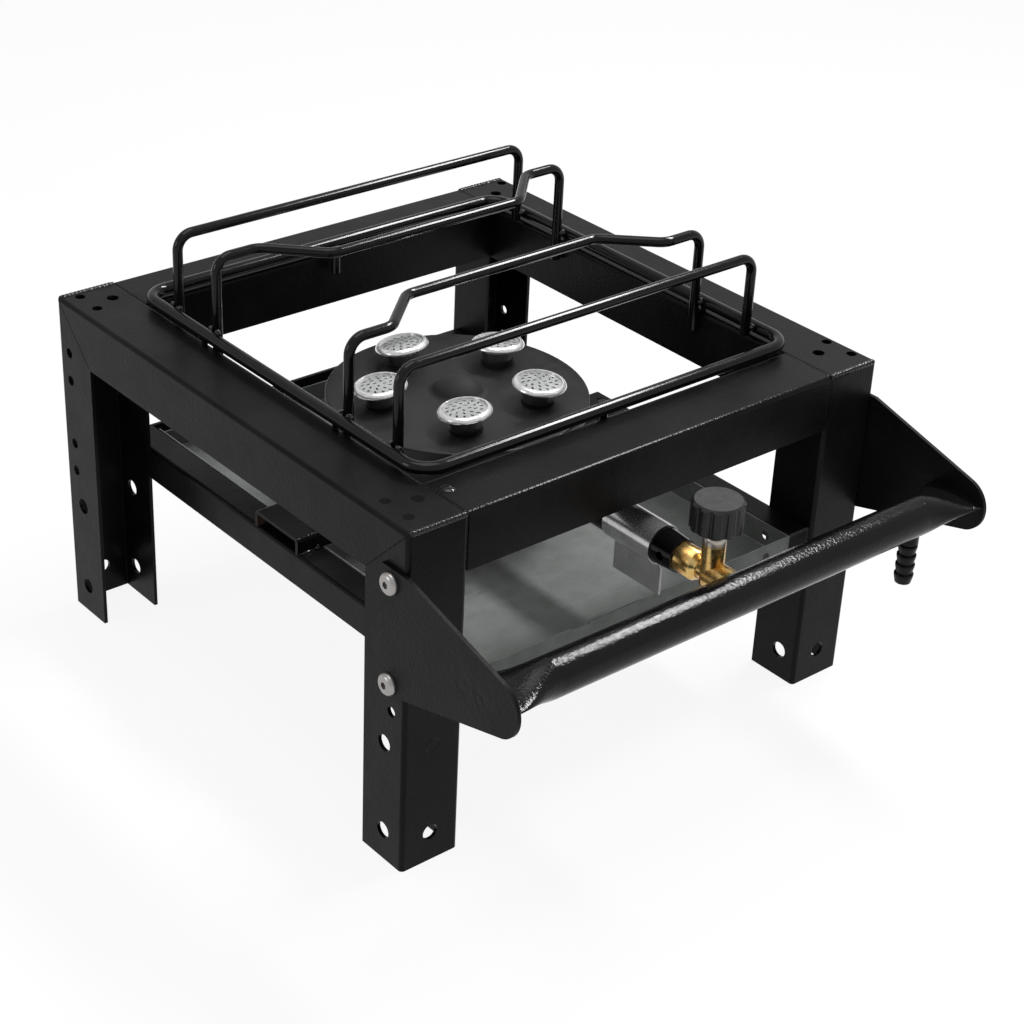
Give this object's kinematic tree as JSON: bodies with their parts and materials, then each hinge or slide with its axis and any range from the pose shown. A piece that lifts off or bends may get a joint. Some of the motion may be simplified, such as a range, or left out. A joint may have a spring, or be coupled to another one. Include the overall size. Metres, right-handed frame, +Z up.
{
  "type": "stock pot range",
  "caption": "Low square stock pot range: channel frame, lift-off wire grate, round burner with perforated ports, slide-out drip tray, knob valve, and a front gas tube with a hose barb.",
  "frame": {"origin": "on the floor, at the middle of the square of the four legs", "axes": "+Z up; +Y from the handle tube at the front to the back; +X to the right of someone who faces the range"},
  "size_m": [0.472, 0.5786, 0.3564],
  "materials": {
    "frame_black": "satin black powder coat with fine orange peel",
    "grate_black": "glossy black enamel",
    "burner_black": "semi-gloss black heat paint",
    "port_steel": "turned steel, slightly heat stained",
    "port_aluminium": "bright turned casting",
    "galvanised": "bare galvanised sheet",
    "brass": "bare brass with a faint tarnish",
    "nickel": "nickel plate",
    "zinc": "bright zinc plate",
    "knob_black": "moulded black, worn on its flutes",
    "plug_black": "moulded black",
    "barb_black": "black oxide on turned steel"
  },
  "bodies": {
    "frame": {"leg_front_left": "frame_black", "leg_front_right": "frame_black", "leg_back_left": "frame_black", "leg_back_right": "frame_black", "side_rail_left": "frame_black", "side_rail_right": "frame_black", "front_rail": "frame_black", "back_rail": "frame_black", "hole_plugs": "plug_black", "tray_rail_left": "frame_black", "tray_rail_right": "frame_black", "tray_back_bar": "frame_black", "tray_strap_front": "frame_black", "tray_strap_back": "frame_black", "burner_bar": "frame_black", "handle_bracket_left": "frame_black", "handle_bracket_right": "frame_black", "handle_tube": "frame_black", "bracket_screws": "zinc", "bracket_nuts": "zinc", "hose_barb": "barb_black", "burner_pan": "burner_black", "burner_top": "burner_black", "burner_spacers": "port_steel", "burner_bolts": "zinc", "burner_nuts": "zinc", "port_riser_1": "port_steel", "port_tip_1": "port_aluminium", "port_screen_1": "port_aluminium", "port_riser_2": "port_steel", "port_tip_2": "port_aluminium", "port_screen_2": "port_aluminium", "port_riser_3": "port_steel", "port_tip_3": "port_aluminium", "port_screen_3": "port_aluminium", "port_riser_4": "port_steel", "port_tip_4": "port_aluminium", "port_screen_4": "port_aluminium", "port_riser_5": "port_steel", "port_tip_5": "port_aluminium", "port_screen_5": "port_aluminium", "mixer_tube": "burner_black", "injector": "brass", "valve_body": "brass", "packing_nut": "nickel"},
    "tray": {"drip_tray": "galvanised"},
    "grate": {"grate_ring": "grate_black", "grate_bar_1": "grate_black", "grate_bar_2": "grate_black", "grate_bar_3": "grate_black", "grate_bar_4": "grate_black", "grate_pegs": "grate_black"},
    "knob": {"valve_knob": "knob_black", "valve_stem": "brass"},
    "shutter": {"air_shutter": "galvanised"}
  },
  "joints": [
    {"name": "tray_slide", "type": "slide", "parent": "frame", "child": "tray", "axis": [0, -1, 0], "range_m": [0, 0.44]},
    {"name": "grate_lift", "type": "slide", "parent": "frame", "child": "grate", "axis": [0, 0, 1], "range_m": [0, 0.12]},
    {"name": "knob_turn", "type": "hinge", "parent": "frame", "child": "knob", "pos_m": [-0.0024, -0.292, 0.25], "axis": [0, 0, 1], "range_deg": [0, 720]},
    {"name": "shutter_slide", "type": "slide", "parent": "frame", "child": "shutter", "axis": [0, -1, 0], "range_m": [-0.01, 0.015]}
  ]
}
